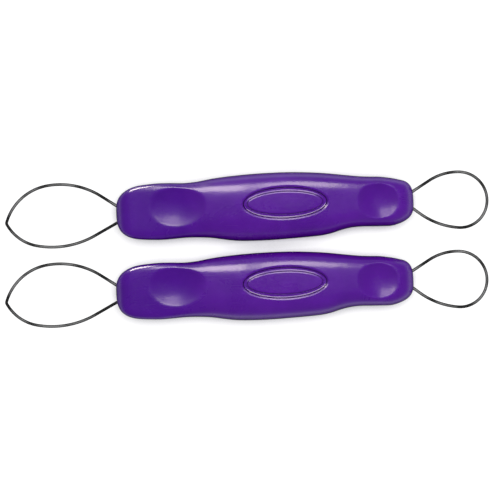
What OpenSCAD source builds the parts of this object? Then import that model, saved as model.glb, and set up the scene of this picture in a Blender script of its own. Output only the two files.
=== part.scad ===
// A pair of double-ended loop tools, lying side by side on a table.
//
// Each tool is a slim moulded grip with a steel wire loop at either end: a leaf-shaped loop
// with a pointed tip at -X and a round teardrop loop at +X. The grip is two moulded shells
// that meet on a flat parting plane and are drawn together by three screws from underneath.
// Each loop is one length of wire. Its two tails run into the grip on the parting plane,
// through channels in the end block and a saddle rib, and hook round moulded posts.
// A blank oval inlay sits in a pocket on the crown, between two thumb dishes.
//
// +X runs along the tools, +Y across them, +Z up. Z = 0 is the table.
// The origin is the bottom centre of the pair's box. Millimetres.

/* [Pair] */
// Distance between the two tools across the table
pair_pitch = 31.7; // [29:0.1:60]
// How far the near tool is set back along X from the far one
pair_setback = 1.33; // [0:0.01:10]

/* [Grip] */
// Height of the parting plane above the table
parting_z = 7; // [6.4:0.1:7.6]
// Highest point of the crown above the table
crown_z = 17.2; // [16.6:0.1:18.4]
// Depth the belly would reach below the parting plane if the flat land did not cut it
belly_drop = 7.7; // [7.6:0.1:8.4]
// Wall thickness of the moulded shells
wall = 2.1; // [1.6:0.1:2.4]

/* [Thumb dishes] */
// Lowest point of the long dish, at the pointed end
dish_l_z = 13.15; // [12:0.05:13.4]
// Lowest point of the short dish, at the round end
dish_r_z = 12.3; // [12:0.05:13.4]

/* [Oval inlay] */
// Half length of the pocket
pocket_a = 17.4; // [15:0.1:18]
// Half width of the pocket
pocket_b = 6.9; // [5.5:0.1:7.4]
// Width of the open groove round the inlay
inlay_gap = 0.5; // [0.3:0.05:0.9]
// Height of the pocket floor
pocket_z = 15.1; // [14.8:0.05:15.4]

/* [Wire] */
// Wire diameter
wire_d = 1.2; // [1:0.05:1.4]
// Clearance round the wire where it runs through the plastic
wire_clear = 0.05; // [0.03:0.01:0.1]

/* [Screws] */
// Shank diameter
screw_d = 2.2; // [2:0.1:2.6]
// Head diameter
head_d = 4; // [3.6:0.1:4.4]

/* [Hidden] */
$fn = 48;

PURPLE = [0.33, 0.13, 0.58];
INLAY = [0.29, 0.10, 0.53];
STEEL = [0.62, 0.62, 0.62];
ZINC = [0.72, 0.72, 0.70];

// ---- the grip's form ------------------------------------------------------------------

// Plan of the grip: [x, reach to +Y, reach to -Y, squareness of the section],
// before its ends are rounded off.
PLAN = [
  [-60, 9.9, 11.5, 6.5], [-56, 10.0, 11.0, 7.0], [-51, 10.5, 10.95, 7.5],
  [-46, 10.95, 11.25, 7.5], [-42, 11.15, 11.4, 7.0], [-37, 11.05, 11.2, 6.0],
  [-32, 10.85, 10.95, 5.0], [-27, 11.2, 11.05, 4.2], [-22, 12.0, 11.45, 3.6],
  [-17, 12.6, 12.3, 3.25], [-12, 13.0, 13.0, 3.1], [-6, 13.35, 13.3, 3.1],
  [2, 13.55, 13.3, 3.2], [10, 13.5, 13.0, 3.3], [17, 13.15, 12.65, 3.3],
  [22, 12.75, 12.3, 3.2], [26, 12.3, 11.6, 3.1], [30, 11.75, 10.45, 3.1],
  [34, 11.2, 9.65, 3.1], [38, 10.7, 9.4, 3.1], [42, 10.4, 9.5, 3.1],
  [46, 10.2, 9.6, 3.1], [50, 9.65, 9.65, 3.1], [54, 9.3, 9.15, 3.1],
  [57, 9.7, 8.9, 3.1], [60, 10.0, 8.9, 3.1]
];
// Side view of the grip: [x, crown above the parting plane as a share of its highest point].
CROWN = [
  [-60, 0.76], [-50, 0.78], [-42, 0.79], [-34, 0.81], [-26, 0.87], [-18, 0.93], [-8, 0.985],
  [4, 1], [14, 0.985], [24, 0.93], [32, 0.865], [40, 0.81], [50, 0.77], [60, 0.75]
];
LEFT_TIP = -59.65;   // tip of the grip at the pointed end
RIGHT_TIP = 59.3;    // tip of the grip at the round end
BELLY_SQUARE = 2.5;  // squareness of the belly's section
DISH_SPLIT = 5;      // x between the two dishes
DISH_BLEND = 0.35;   // width of the blend at a dish's edge
TIP_INSET = 0.04;    // from each tip in to the outermost station
SHELF = 0.4;         // least height of a hollow off the parting plane
HOLLOW_OVER = 1;     // how far a hollow runs past the parting plane

// A smooth curve through column col of a station table.
function span(table, x, i = 0) =
  (i >= len(table) - 2 || x < table[i + 1][0]) ? i : span(table, x, i + 1);
function slope(table, col, i, j) =
  (table[j][col] - table[i][col]) / (table[j][0] - table[i][0]);
function curve(table, col, x) = let (
  i = span(table, x),
  width = table[i + 1][0] - table[i][0],
  t = (x - table[i][0]) / width,
  slope_in = slope(table, col, max(0, i - 1), i + 1),
  slope_out = slope(table, col, i, min(len(table) - 1, i + 2))
) table[i][col] * (2 * t * t * t - 3 * t * t + 1)
  + width * slope_in * (t * t * t - 2 * t * t + t)
  + table[i + 1][col] * (3 * t * t - 2 * t * t * t)
  + width * slope_out * (t * t * t - t * t);

// A superellipse's height at t = -1..1.
function rounded(t, power) = pow(max(0, 1 - pow(abs(t), power)), 1 / power);

// How far the outline has closed in: 1 along the body, 0 at the tips.
// left and right are each [length of the rounding, its squareness].
function close_in(x, left, right) = let (
  end = x < 0 ? left : right,
  from_tip = x < 0 ? x - LEFT_TIP : RIGHT_TIP - x
) rounded(min(1, max(0, 1 - from_tip / end[0])), end[1]);
function plan_end(x) = close_in(x, left = [11.65, 2.6], right = [12.3, 3]);
function side_end(x) = close_in(x, left = [7, 2.6], right = [9, 2.3]);

function reach_back(x) = curve(PLAN, 1, x) * plan_end(x);
function reach_front(x) = curve(PLAN, 2, x) * plan_end(x);
function mid_y(x) = (reach_back(x) - reach_front(x)) / 2;
function half_w(x) = (reach_back(x) + reach_front(x)) / 2;
function rise(x) = (crown_z - parting_z) * curve(CROWN, 1, x) * side_end(x);
function drop(x) = belly_drop * side_end(x);

// A smooth lower envelope of two heights, blended over the given width.
function smooth_min(a, b, blend) = let (h = max(blend - abs(a - b), 0) / blend)
  min(a, b) - h * h * blend / 4;

// The thumb dishes are shallow bowls. At half_size from its middle a bowl stands rim higher,
// along and across. Each leans slightly outwards with the falling crown.
function bowl(x, y, middle, half_size, low_z, rim, lean) = low_z + lean * (x - middle[0])
  + rim[0] * pow((x - middle[0]) / half_size[0], 2)
  + rim[1] * pow((y - middle[1]) / half_size[1], 2);
function dish(x, y) = x < DISH_SPLIT
  ? bowl(x, y, middle = [-34.8, 1.8], half_size = [11.3, 8.0], low_z = dish_l_z,
      rim = [2.4, 1.95], lean = 0.053)
  : bowl(x, y, middle = [44.85, 0.8], half_size = [8.25, 7.06], low_z = dish_r_z,
      rim = [2.85, 1.8], lean = -0.06);

// Heights of the outer skin at s = -1..1 across the section.
function over(x, s) = parting_z + rise(x) * rounded(s, curve(PLAN, 3, x));
function top_z(x, s) = smooth_min(over(x, s), dish(x, mid_y(x) + s * half_w(x)), DISH_BLEND);
function under(x, s) = parting_z - drop(x) * rounded(s, BELLY_SQUARE);
function low_z(x, s) = max(0, under(x, s));

// Stations along the grip: close together on the rounded ends and over the dishes.
function steps(from, to, n) = [for (i = [0:n - 1]) from + (to - from) * i / n];
function eased(tip, inner, n, i) = tip + (inner - tip) * (1 - cos(90 * i / n));
function left_end(inner, n) = [for (i = [0:n - 1]) eased(LEFT_TIP + TIP_INSET, inner, n, i)];
function right_end(inner, n) = [for (i = [n:-1:0]) eased(RIGHT_TIP - TIP_INSET, inner, n, i)];
TOP_STATIONS = concat(left_end(-48, 8), steps(-48, -22, 17), steps(-22, 34, 15),
  steps(34, 52, 12), right_end(52, 8));
LOW_STATIONS = concat(left_end(-50, 7), steps(-50, 50, 26), right_end(50, 7));
HOLLOW_STATIONS = steps(-51, 51.01, 26);

// Places across the section, closer together towards the rims.
function across(n) = [for (j = [0:n]) cos(180 * j / n)];
function on_rim(s) = abs(s) > 0.999;

// A closed skin over rows of points, with a flat face on the first row and on the last.
module skin(rows) {
  m = len(rows);
  n = len(rows[0]);
  polyhedron(
    points = [for (row = rows) each row],
    faces = concat(
      [for (i = [0:m - 2]) for (j = [0:n - 1]) let (k = (j + 1) % n) each [
        [i * n + j, (i + 1) * n + j, (i + 1) * n + k],
        [i * n + j, (i + 1) * n + k, i * n + k]
      ]],
      [[for (j = [0:n - 1]) j]],
      [[for (j = [n - 1:-1:0]) (m - 1) * n + j]]
    ),
    convexity = 6
  );
}

// Half of the outer form. side is 1 above the parting plane and -1 below it.
module form(stations, n, side) skin([for (x = stations) [for (c = across(n)) let (s = side * c)
  [x, mid_y(x) + s * half_w(x),
    on_rim(s) ? parting_z : side > 0 ? top_z(x, s) : low_z(x, s)]]]);

// The hollow of one half. It stops short of the end blocks.
function hollow_z(x, s, side) =
  on_rim(s) ? parting_z + side * SHELF
  : side > 0 ? max(parting_z + SHELF, min(pocket_z - wall, top_z(x, s) - wall))
  : min(parting_z - SHELF, max(wall, under(x, s) + wall));
module hollow(side) skin([for (x = HOLLOW_STATIONS) let (
  reach = side * (half_w(x) - wall),
  open_z = parting_z - side * HOLLOW_OVER
) concat(
  [[x, mid_y(x) + reach, open_z]],
  [for (c = across(10)) [x, mid_y(x) + c * reach, hollow_z(x, side * c, side)]],
  [[x, mid_y(x) - reach, open_z]]
)]);

// ---- wire runs ------------------------------------------------------------------------

// A run of wire is a list of steps. [length, 0] is straight; [radius, turn] is an arc that
// turns left by turn degrees, or right when turn is negative. Each run starts at the end of
// one hooked tail and finishes at the end of the other, in the frame of its own end of the
// grip: x outwards from the grip's tip, y across.
TAIL_IN = 15.5;     // from the grip's tip in to the hook
HOOK_R = 1.6;
HOOK_LEG = 2.4;     // straight end of the wire past the hook
TAIL_STEPS = 5;     // steps at each end of a run that need a channel
wire_r = wire_d / 2;
channel_r = wire_r + wire_clear;
post_r = HOOK_R - channel_r;

// A loop with a hooked tail before and after it. Each tail's straight stops short of the tip.
function tailed(short_first, loop, short_last) = concat(
  [[HOOK_LEG, 0], [HOOK_R, 90], [TAIL_IN - HOOK_R - short_first, 0]],
  loop,
  [[TAIL_IN - HOOK_R - short_last, 0], [HOOK_R, 90], [HOOK_LEG, 0]]
);
POINTED = tailed(2.2, [
  [3, 34.5], [7.7, 0], [30.4, -42], [20.7, -64], [1.3, -46],
  [17.3, -50.5], [34.8, -39.5], [10, 0], [3, 27.5]
], 1.4);
ROUND = tailed(1.6, [
  [3, 31], [7.8, 0], [21, -34.5], [11.4, -103.5], [10.7, -79.5],
  [29.8, -31.5], [3.3, 0], [3, 38]
], 1.9);

// A pose is [x, y, heading]. A run starts heading towards -Y; its first tail lies at tail_y.
function start_pose(tail_y) = [-TAIL_IN, tail_y + HOOK_R + HOOK_LEG, -90];
POINTED_START = start_pose(2.2);
ROUND_START = start_pose(3.4);

// The pose after a step, or after a share of an arc.
function moved(pose, step, share = 1) = let (
  size = step[0],
  heading = pose[2],
  turned = heading + step[1] * share,
  r = sign(step[1]) * size
) step[1] == 0
  ? [pose[0] + size * cos(heading), pose[1] + size * sin(heading), heading]
  : [pose[0] - r * (sin(heading) - sin(turned)), pose[1] + r * (cos(heading) - cos(turned)),
      turned];
// The pose after the first n steps of a run.
function after(run, n, start) =
  n == 0 ? start : moved(after(run, n - 1, start), run[n - 1]);
// The poses along a run, with every arc cut into short chords.
function chords(step) = step[1] == 0 ? 1 : ceil(abs(step[1]) / 7.5);
function trail(run, start) = [start, for (i = [0:len(run) - 1])
  let (pose = after(run, i, start), n = chords(run[i]))
    for (k = [1:n]) moved(pose, run[i], k / n)];

// The wire itself: a closed skin over twelve-sided rings that stand square to the run.
module wire(run, start) skin([for (pose = trail(run, start)) [for (t = [0:30:330]) [
  pose[0] - wire_r * cos(t) * sin(pose[2]),
  pose[1] + wire_r * cos(t) * cos(pose[2]),
  wire_r * sin(t)
]]]);

// A round rod along a run, from step i on. A ball a hair wider than the rod closes each
// place where two steps meet.
ROD_GAP = 0.01;       // left open at each end of a step
BALL_SCALE = 1.012;
module rod(run, r, i = 0) {
  if (i < len(run)) {
    size = run[i][0];
    turn = run[i][1];
    sphere(r = r * BALL_SCALE, $fn = 32);
    if (turn == 0) {
      translate([ROD_GAP, 0, 0]) rotate([0, 90, 0])
        cylinder(r = r, h = size - 2 * ROD_GAP, $fn = 32);
      translate([size, 0, 0]) rod(run, r, i + 1);
    } else {
      side = sign(turn);
      gap_turn = ROD_GAP / size * 180 / PI;
      translate([0, side * size, 0]) {
        rotate([0, 0, (side > 0 ? -90 : 90 - abs(turn)) + gap_turn])
          rotate_extrude(angle = abs(turn) - 2 * gap_turn, $fn = 128)
            translate([size, 0]) circle(r = r, $fn = 32);
        rotate([0, 0, turn]) translate([0, -side * size, 0]) rod(run, r, i + 1);
      }
    }
  }
}

// Puts a run on its end of the grip. The pointed end's frame is turned to face -X.
module at_pointed_end() translate([LEFT_TIP, 0, parting_z]) mirror([1, 0, 0]) children();
module at_round_end() translate([RIGHT_TIP, 0, parting_z]) children();

// The channels for both tails of a run.
module channels(run, start) {
  last = len(run) - TAIL_STEPS;
  for (first = [0, last]) {
    pose = after(run, first, start);
    translate([pose[0], pose[1], 0]) rotate([0, 0, pose[2]])
      rod([for (i = [0:TAIL_STEPS - 1]) run[first + i]], channel_r);
  }
}
module tail_channels() {
  at_pointed_end() channels(POINTED, POINTED_START);
  at_round_end() channels(ROUND, ROUND_START);
}

// The posts that both tails of a run hook round, from z0 to z1.
module posts(run, start, z0, z1)
  for (i = [1, len(run) - 2]) {
    pose = after(run, i, start);
    translate([pose[0] - HOOK_R * sin(pose[2]), pose[1] + HOOK_R * cos(pose[2]), z0 - parting_z])
      cylinder(r = post_r, h = z1 - z0);
  }
module hook_posts(z0, z1) {
  at_pointed_end() posts(POINTED, POINTED_START, z0, z1);
  at_round_end() posts(ROUND, ROUND_START, z0, z1);
}

// ---- fixings --------------------------------------------------------------------------

SCREWS = [[-38.5, 4.9], [4, 6.4], [40, 4.9]];  // [x, height of the upper boss]
SEAT_Z = 2.6;              // where the screw heads bear
TIP_Z = 9.5;               // top of the screws
HEAD_H = 1.4;
POINT_H = 0.8;             // height of a screw's tapered point
CROSS = [2.2, 0.44];       // length and width of a recess slot
UPPER_BOSS_D = 6;
LOWER_BOSS_D = 7;

PEGS = [[-24, 6.4], [29, -5.2]];
PEG_D = 2.4;
PEG_DROP = 3;              // below the parting plane
PEG_BOSS_D = 4.6;
FLOOR_SINK = 0.6;          // how far pillars start below the floor's inner face

SADDLE_IN = 11.2;          // from each tip in to the middle of a rib
SADDLE = [1.6, 14.8];      // thickness and width

POCKET = [7.86, 1.27];     // middle of the pocket
INLAY_PEGS = [-3.5, 19];   // x of the inlay's pegs
INLAY_PEG_D = 2;
INLAY_TOP = 16.3;
INLAY_LIFT = 0.01;         // keeps the inlay clear of the pocket floor

module ellipse(a, b) polygon([for (i = [0:71]) [a * cos(5 * i), b * sin(5 * i)]]);

// Saddle ribs across both ends of the hollow, between the posts and the tips.
module saddles(z0, left_top, right_top)
  for (rib = [[LEFT_TIP + SADDLE_IN, left_top], [RIGHT_TIP - SADDLE_IN, right_top]])
    translate([rib[0] - SADDLE[0] / 2, mid_y(rib[0]) - SADDLE[1] / 2, z0])
      cube([SADDLE[0], SADDLE[1], rib[1] - z0]);

// ---- the pieces of one tool -----------------------------------------------------------

module top_shell() color(PURPLE) difference() {
  union() {
    difference() {
      form(TOP_STATIONS, 20, 1);
      hollow(1);
    }
    for (s = SCREWS) translate([s[0], 0, parting_z]) cylinder(d = UPPER_BOSS_D, h = s[1]);
    for (p = PEGS) {
      translate([p[0], p[1], parting_z]) cylinder(d = PEG_BOSS_D, h = 5.9);
      translate([p[0], p[1], parting_z - PEG_DROP]) cylinder(d = PEG_D, h = PEG_DROP + 1);
    }
    saddles(parting_z, 13.4, 11.8);
  }
  // pilot holes for the screws
  for (s = SCREWS) translate([s[0], 0, parting_z - 1])
    cylinder(d = screw_d + 0.1, h = TIP_Z + 0.3 - parting_z + 1);
  // the oval pocket, and the holes for the inlay's pegs
  translate([POCKET[0], POCKET[1], pocket_z]) linear_extrude(5) ellipse(pocket_a, pocket_b);
  for (x = INLAY_PEGS) translate([x, POCKET[1], pocket_z - wall - 1])
    cylinder(d = INLAY_PEG_D + 0.1, h = wall + 2);
  tail_channels();
}

module bottom_shell() color(PURPLE) difference() {
  union() {
    difference() {
      form(LOW_STATIONS, 16, -1);
      hollow(-1);
    }
    for (s = SCREWS) translate([s[0], 0, 0.5]) cylinder(d = LOWER_BOSS_D, h = parting_z - 0.5);
    for (p = PEGS) translate([p[0], p[1], wall - FLOOR_SINK])
      cylinder(d = PEG_BOSS_D, h = parting_z - wall + FLOOR_SINK);
    saddles(wall - 0.4, parting_z, parting_z);
    hook_posts(wall - FLOOR_SINK, parting_z + 0.9);
  }
  // wells for the screw heads, and clearance for the shanks
  for (s = SCREWS) {
    translate([s[0], 0, -1]) cylinder(d = head_d + 0.5, h = SEAT_Z + 1);
    translate([s[0], 0, 0]) cylinder(d = screw_d + 0.2, h = parting_z + 1);
  }
  // sockets for the upper shell's pegs
  for (p = PEGS) translate([p[0], p[1], parting_z - PEG_DROP - 0.3])
    cylinder(d = PEG_D + 0.1, h = 4);
  tail_channels();
}

module oval_inlay() color(INLAY) {
  a = pocket_a - inlay_gap;
  b = pocket_b - inlay_gap;
  translate([POCKET[0], POCKET[1], 0]) {
    translate([0, 0, pocket_z + INLAY_LIFT]) linear_extrude(INLAY_TOP - pocket_z) ellipse(a, b);
    // raised rim just inside the edge
    translate([0, 0, INLAY_TOP - 0.1]) linear_extrude(0.4) difference() {
      ellipse(a - 0.15, b - 0.15);
      ellipse(a - 0.95, b - 0.95);
    }
  }
  for (x = INLAY_PEGS) translate([x, POCKET[1], pocket_z - wall + 0.2])
    cylinder(d = INLAY_PEG_D, h = wall);
}

module pointed_loop() color(STEEL) at_pointed_end() wire(POINTED, POINTED_START);
module round_loop() color(STEEL) at_round_end() wire(ROUND, ROUND_START);

// A pan-head screw, driven from below, with a cross recess in its head.
module screw() difference() {
  union() {
    translate([0, 0, SEAT_Z - HEAD_H]) cylinder(d = head_d, h = HEAD_H - 0.02);
    translate([0, 0, SEAT_Z - 0.1]) cylinder(d = screw_d, h = TIP_Z - SEAT_Z + 0.1 - POINT_H);
    translate([0, 0, TIP_Z - POINT_H]) cylinder(d1 = screw_d, d2 = 0.6, h = POINT_H);
  }
  for (a = [0, 90]) rotate([0, 0, a]) translate([-CROSS[0] / 2, -CROSS[1] / 2, 0])
    cube([CROSS[0], CROSS[1], SEAT_Z - 0.6]);
}
module screws() color(ZINC) for (s = SCREWS) translate([s[0], 0, 0]) screw();

// ---- placing the two tools ------------------------------------------------------------

// Where the far tool's own origin lies, so that the pair's box is centred.
FAR_TOOL = [8.141, 15.737];
module grip_a() translate([FAR_TOOL[0], FAR_TOOL[1], 0]) children();
module grip_b() translate([FAR_TOOL[0] - pair_setback, FAR_TOOL[1] - pair_pitch, 0]) children();

grip_a() top_shell();  // grip_a_top_shell
grip_a() bottom_shell();  // grip_a_bottom_shell
grip_a() oval_inlay();  // grip_a_oval_inlay
grip_a() pointed_loop();  // grip_a_pointed_loop
grip_a() round_loop();  // grip_a_round_loop
grip_a() screws();  // grip_a_screws
grip_b() top_shell();  // grip_b_top_shell
grip_b() bottom_shell();  // grip_b_bottom_shell
grip_b() oval_inlay();  // grip_b_oval_inlay
grip_b() pointed_loop();  // grip_b_pointed_loop
grip_b() round_loop();  // grip_b_round_loop
grip_b() screws();  // grip_b_screws
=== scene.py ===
# Two alike purple plastic grips lie flat on a table, their length along X and their crowns up.
# Each is a top and a bottom shell that meet at the parting plane, with an oval inlay in the top,
# three screws from below, a pointed wire loop at the left (-X) end and a round one at the right.
# Shapes are in millimetres in a grip's own frame, with the table at z = 0 and the back at +Y.
# Lights, floor and camera are in metres.
import math

import bpy
import bmesh
import numpy as np
from mathutils import Matrix, Vector


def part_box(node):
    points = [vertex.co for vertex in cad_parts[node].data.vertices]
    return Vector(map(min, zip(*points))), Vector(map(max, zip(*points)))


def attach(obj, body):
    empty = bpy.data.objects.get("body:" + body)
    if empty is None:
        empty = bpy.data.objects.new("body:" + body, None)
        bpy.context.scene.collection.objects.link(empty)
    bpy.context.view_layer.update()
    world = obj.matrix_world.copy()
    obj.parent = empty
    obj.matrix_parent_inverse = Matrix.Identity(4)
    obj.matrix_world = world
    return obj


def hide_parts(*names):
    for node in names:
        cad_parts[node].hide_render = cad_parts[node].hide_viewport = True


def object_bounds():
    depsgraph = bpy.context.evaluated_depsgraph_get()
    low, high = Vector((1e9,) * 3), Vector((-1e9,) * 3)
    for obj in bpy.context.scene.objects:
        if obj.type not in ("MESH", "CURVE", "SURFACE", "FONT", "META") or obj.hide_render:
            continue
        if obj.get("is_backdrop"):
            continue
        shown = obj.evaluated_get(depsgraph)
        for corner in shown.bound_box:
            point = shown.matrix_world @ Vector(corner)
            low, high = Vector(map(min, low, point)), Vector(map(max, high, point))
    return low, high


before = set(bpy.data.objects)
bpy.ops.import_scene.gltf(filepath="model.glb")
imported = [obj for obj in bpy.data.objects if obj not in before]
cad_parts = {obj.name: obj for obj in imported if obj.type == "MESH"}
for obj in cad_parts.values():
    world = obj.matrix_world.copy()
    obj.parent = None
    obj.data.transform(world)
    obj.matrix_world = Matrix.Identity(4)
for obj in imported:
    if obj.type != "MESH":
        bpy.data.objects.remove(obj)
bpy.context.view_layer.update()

MM = 0.001
TOOLS = ("grip_a", "grip_b")

# ================================================================ the grip's form
# x, reach to the back (+Y), reach to the front (-Y), squareness of the upper cross-section
PLAN = np.array([
    [-60, 9.9, 11.5, 6.5], [-56, 10.0, 11.0, 7.0], [-51, 10.5, 10.95, 7.5],
    [-46, 10.95, 11.25, 7.5], [-42, 11.15, 11.4, 7.0], [-37, 11.05, 11.2, 6.0],
    [-32, 10.85, 10.95, 5.0], [-27, 11.2, 11.05, 4.2], [-22, 12.0, 11.45, 3.6],
    [-17, 12.6, 12.3, 3.25], [-12, 13.0, 13.0, 3.1], [-6, 13.35, 13.3, 3.1],
    [2, 13.55, 13.3, 3.2], [10, 13.5, 13.0, 3.3], [17, 13.15, 12.65, 3.3],
    [22, 12.75, 12.3, 3.2], [26, 12.3, 11.6, 3.1], [30, 11.75, 10.45, 3.1],
    [34, 11.2, 9.65, 3.1], [38, 10.7, 9.4, 3.1], [42, 10.4, 9.5, 3.1], [46, 10.2, 9.6, 3.1],
    [50, 9.65, 9.65, 3.1], [54, 9.3, 9.15, 3.1], [57, 9.7, 8.9, 3.1], [60, 10.0, 8.9, 3.1]])
# x, share of the full crown height
CROWN = np.array([
    [-60, 0.76], [-50, 0.78], [-42, 0.79], [-34, 0.81], [-26, 0.87], [-18, 0.93], [-8, 0.985],
    [4, 1], [14, 0.985], [24, 0.93], [32, 0.865], [40, 0.81], [50, 0.77], [60, 0.75]])
LEFT_TIP, RIGHT_TIP = -59.65, 59.3
MIDDLE_X = (LEFT_TIP + RIGHT_TIP) / 2
# how far the rounding of each end reaches in plan, and its power
LEFT_NOSE, LEFT_NOSE_POWER = 11.65, 2.6
RIGHT_NOSE, RIGHT_NOSE_POWER = 12.3, 3.0
PARTING_Z = 7.0
CROWN_Z = 17.2
BELLY_DEPTH = 7.7               # below the parting plane, before the flat land cuts it off
BELLY_POWER = 2.5
LAND_BLEND = 0.5                # soft edge round the flat land
DISH_BLEND = 0.35               # soft edge round the thumb dishes
PART_GAP = 0.02                 # from the parting plane to each shell
LIP_HEIGHT, LIP_DEPTH = 0.16, 0.12

POCKET_A, POCKET_B, POCKET_Z = 17.4, 6.9, 15.1     # half length, half width, floor height
OVAL_X, OVAL_Y = 7.86, 1.27
MOUTH_CHAMFER = 0.66

SCREWS = [(-38.5, 0.0), (4.0, 0.0), (40.0, 0.0)]
SEAT_Z, SCREW_TIP_Z = 2.6, 9.5
HEAD_Z = SEAT_Z - 1.4           # outer face of the screw head

END_STATIONS, MIDDLE_STATIONS = 44, 300
TOP_COLUMNS, BOTTOM_COLUMNS = 132, 110


def curve(table, column, x):
    """A smooth cubic through one column of a table."""
    x = np.asarray(x, float)
    knots, values = table[:, 0], table[:, column]
    i = np.clip(np.searchsorted(knots, x, side="right") - 1, 0, len(knots) - 2)
    slopes = np.empty_like(values)
    slopes[1:-1] = (values[2:] - values[:-2]) / (knots[2:] - knots[:-2])
    slopes[0] = (values[1] - values[0]) / (knots[1] - knots[0])
    slopes[-1] = (values[-1] - values[-2]) / (knots[-1] - knots[-2])
    gap = knots[i + 1] - knots[i]
    t = (x - knots[i]) / gap
    t2, t3 = t * t, t * t * t
    return (values[i] * (2 * t3 - 3 * t2 + 1) + gap * slopes[i] * (t3 - 2 * t2 + t)
            + values[i + 1] * (3 * t2 - 2 * t3) + gap * slopes[i + 1] * (t3 - t2))


def close_in(x, left, right, left_power, right_power):
    """1 along the middle, falling to 0 at the tips over the lengths left and right."""
    x = np.asarray(x, float)
    beyond_right = np.where(x > RIGHT_TIP - right, (x - RIGHT_TIP + right) / right, 0.0)
    share = np.where(x < LEFT_TIP + left, (LEFT_TIP + left - x) / left, beyond_right)
    share = np.clip(share, 0, 1)
    power = np.where(x < 0, left_power, right_power)
    return np.maximum(0, 1 - share ** power) ** (1 / power)


def plan_end(x):
    return close_in(x, LEFT_NOSE, RIGHT_NOSE, LEFT_NOSE_POWER, RIGHT_NOSE_POWER)


def side_end(x):
    return close_in(x, left=7.0, right=9.0, left_power=2.6, right_power=2.3)


def back(x):
    return curve(PLAN, 1, x) * plan_end(x)


def front(x):
    return curve(PLAN, 2, x) * plan_end(x)


def middle_y(x):
    return (back(x) - front(x)) / 2


def half_width(x):
    return (back(x) + front(x)) / 2


def rise(x):
    return (CROWN_Z - PARTING_Z) * curve(CROWN, 1, x) * side_end(x)


def drop(x):
    return BELLY_DEPTH * side_end(x)


def squareness(x):
    return curve(PLAN, 3, x)


def smooth_min(a, b, blend):
    near = np.maximum(blend - np.abs(a - b), 0) / blend
    return np.minimum(a, b) - near * near * blend / 4


def bowl(x, y, centre, halves, bottom, heights, lean):
    """A paraboloid that rises by heights at halves from its centre, and leans along X."""
    return (bottom + lean * (x - centre[0]) + heights[0] * ((x - centre[0]) / halves[0]) ** 2
            + heights[1] * ((y - centre[1]) / halves[1]) ** 2)


def dishes(x, y):
    left = bowl(x, y, centre=(-34.8, 1.8), halves=(11.3, 8.0), bottom=13.15,
                heights=(2.4, 1.95), lean=0.053)
    right = bowl(x, y, centre=(44.85, 0.8), halves=(8.25, 7.06), bottom=12.3,
                 heights=(2.85, 1.8), lean=-0.06)
    return np.where(x < 5, left, right)


def plain_top(x, y):
    """Height of the upper skin at a point in plan, as if there were no dishes."""
    power = squareness(x)
    across = np.clip(np.abs(y - middle_y(x)) / np.maximum(half_width(x), 1e-6), 0, 1)
    return PARTING_Z + rise(x) * np.maximum(0, 1 - across ** power) ** (1 / power)


def top_height(x, y):
    return smooth_min(plain_top(x, y), dishes(x, y), DISH_BLEND)


# ================================================================ small mesh tools
def link_object(name, data):
    ob = bpy.data.objects.new(name, data)
    bpy.context.scene.collection.objects.link(ob)
    return ob


def edit_mesh(ob, change):
    bm = bmesh.new()
    bm.from_mesh(ob.data)
    change(bm)
    bm.to_mesh(ob.data)
    bm.free()
    ob.data.update()


def shade_smooth(mesh):
    mesh.polygons.foreach_set("use_smooth", [True] * len(mesh.polygons))


def make_solid(name, verts, faces, smooth=True):
    """A closed object from points in millimetres, with its faces turned outward."""
    mesh = bpy.data.meshes.new(name)
    points = [tuple(v) for v in np.asarray(verts, float) * MM]
    mesh.from_pydata(points, [], [tuple(int(i) for i in f) for f in faces])
    mesh.validate(clean_customdata=False)
    mesh.update()
    ob = link_object(name, mesh)
    if smooth:
        shade_smooth(mesh)
    edit_mesh(ob, lambda bm: bmesh.ops.recalc_face_normals(bm, faces=bm.faces))
    return ob


def sharpen(ob, angle):
    """Breaks smooth shading at edges sharper than angle, in degrees."""
    def mark(bm):
        for e in bm.edges:
            folded = len(e.link_faces) == 2 and e.calc_face_angle(0) > math.radians(angle)
            e.smooth = not folded
    edit_mesh(ob, mark)


def cut(ob, verts, faces):
    """Takes a solid away from an object."""
    cutter = make_solid("cutter", verts, faces, smooth=False)
    boolean = ob.modifiers.new("cut", "BOOLEAN")
    boolean.operation = "DIFFERENCE"
    boolean.solver = "EXACT"
    boolean.object = cutter
    bpy.context.view_layer.update()
    depsgraph = bpy.context.evaluated_depsgraph_get()
    mesh = bpy.data.meshes.new_from_object(ob.evaluated_get(depsgraph))
    ob.modifiers.clear()
    old = ob.data
    ob.data = mesh
    bpy.data.meshes.remove(old)
    bpy.data.objects.remove(cutter)


def loft(faces, rings, flip=False):
    """Joins each ring of points to the next. A ring of one point makes a fan."""
    for a, b in zip(rings[:-1], rings[1:]):
        count = max(len(a), len(b))
        for k in range(count):
            after = (k + 1) % count
            if len(a) == 1:
                face = (a[0], b[k], b[after])
            elif len(b) == 1:
                face = (a[k], b[0], a[after])
            else:
                face = (a[k], b[k], b[after], a[after])
            faces.append(face[::-1] if flip else face)


def lathe(profile, segments, centre_x=0.0, centre_y=0.0):
    """(radius, height) points turned about a vertical line. A radius of 0 lies on the line."""
    verts, faces, rings = [], [], []
    for r, z in profile:
        start = len(verts)
        if r < 1e-6:
            verts.append((centre_x, centre_y, z))
        else:
            angles = [2 * math.pi * k / segments for k in range(segments)]
            verts += [(centre_x + r * math.cos(a), centre_y + r * math.sin(a), z)
                      for a in angles]
        rings.append(list(range(start, len(verts))))
    loft(faces, rings)
    return verts, faces


def oval(angles, half_x, half_y):
    return OVAL_X + half_x * np.cos(angles), OVAL_Y + half_y * np.sin(angles)


def add_ring(verts, x, y, z):
    start = len(verts)
    verts.extend(np.stack([x, y, np.broadcast_to(z, x.shape)], -1).tolist())
    return list(range(start, len(verts)))


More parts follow.
